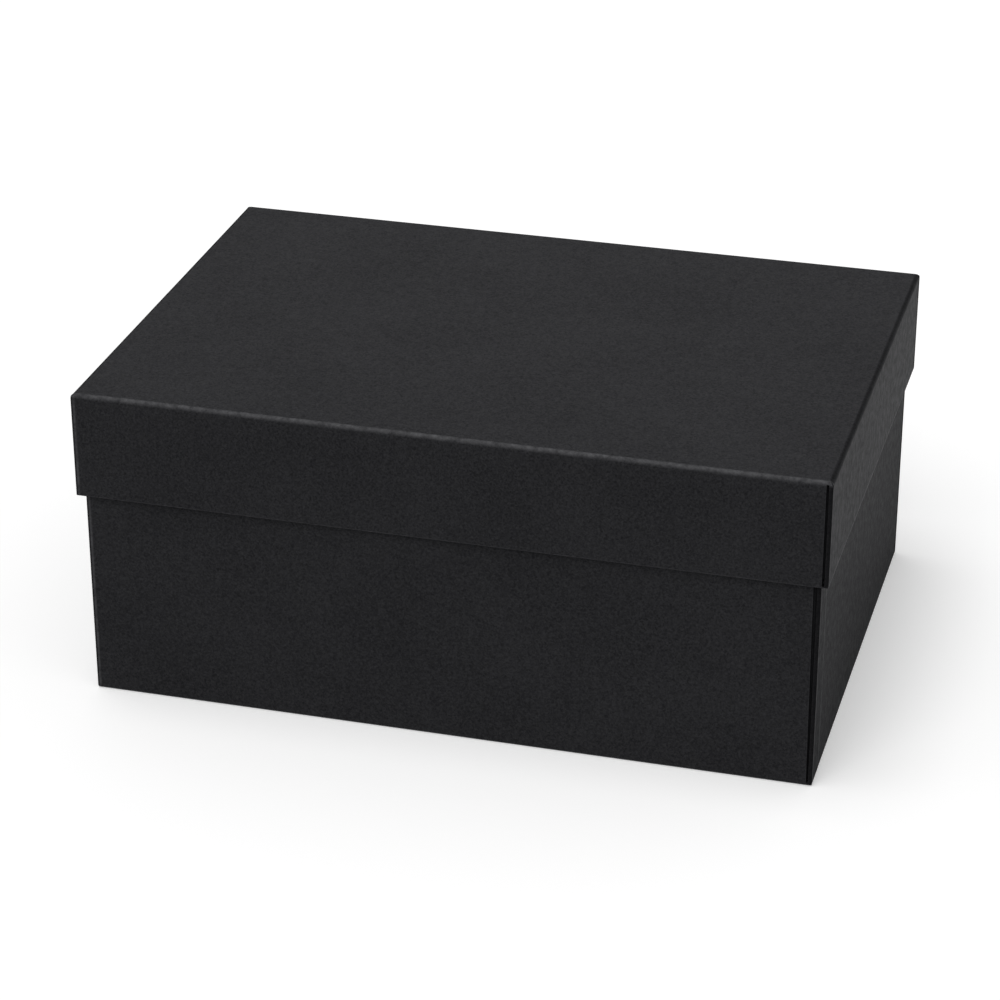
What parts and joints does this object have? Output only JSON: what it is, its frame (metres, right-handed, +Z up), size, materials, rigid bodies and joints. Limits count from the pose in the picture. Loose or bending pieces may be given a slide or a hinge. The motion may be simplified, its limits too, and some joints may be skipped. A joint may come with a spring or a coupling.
{
  "type": "gift box",
  "caption": "Rectangular gift box of black paper over board, with a shallow lift-off lid that telescopes over a deeper base tray.",
  "frame": {"origin": "centre of the underside, on the surface the box stands on", "axes": "+X along the long side to the right, +Y from front to back, +Z up, the way the lid lifts off"},
  "size_m": [0.3, 0.2092, 0.1319],
  "materials": {
    "wrap_paper": "matte",
    "lining_paper": "matte",
    "greyboard": "matte",
    "gusset_card": "matte",
    "adhesive_tape": "matte"
  },
  "bodies": {
    "base": {"base_bottom_board": "greyboard", "base_front_board": "greyboard", "base_back_board": "greyboard", "base_left_board": "greyboard", "base_right_board": "greyboard", "base_wrap": "wrap_paper", "base_lining": "lining_paper", "base_gusset_front_left": "gusset_card", "base_gusset_front_right": "gusset_card", "base_gusset_back_left": "gusset_card", "base_gusset_back_right": "gusset_card", "base_tape_strips": "adhesive_tape"},
    "lid": {"lid_top_board": "greyboard", "lid_front_board": "greyboard", "lid_back_board": "greyboard", "lid_left_board": "greyboard", "lid_right_board": "greyboard", "lid_wrap": "wrap_paper", "lid_lining": "lining_paper", "lid_gusset_front_left": "gusset_card", "lid_gusset_front_right": "gusset_card", "lid_gusset_back_left": "gusset_card", "lid_gusset_back_right": "gusset_card", "lid_tape_strips": "adhesive_tape"}
  },
  "joints": [
    {"name": "lid_lift", "type": "slide", "parent": "base", "child": "lid", "axis": [0, 0, 1], "range_m": [0, 0.15]}
  ]
}
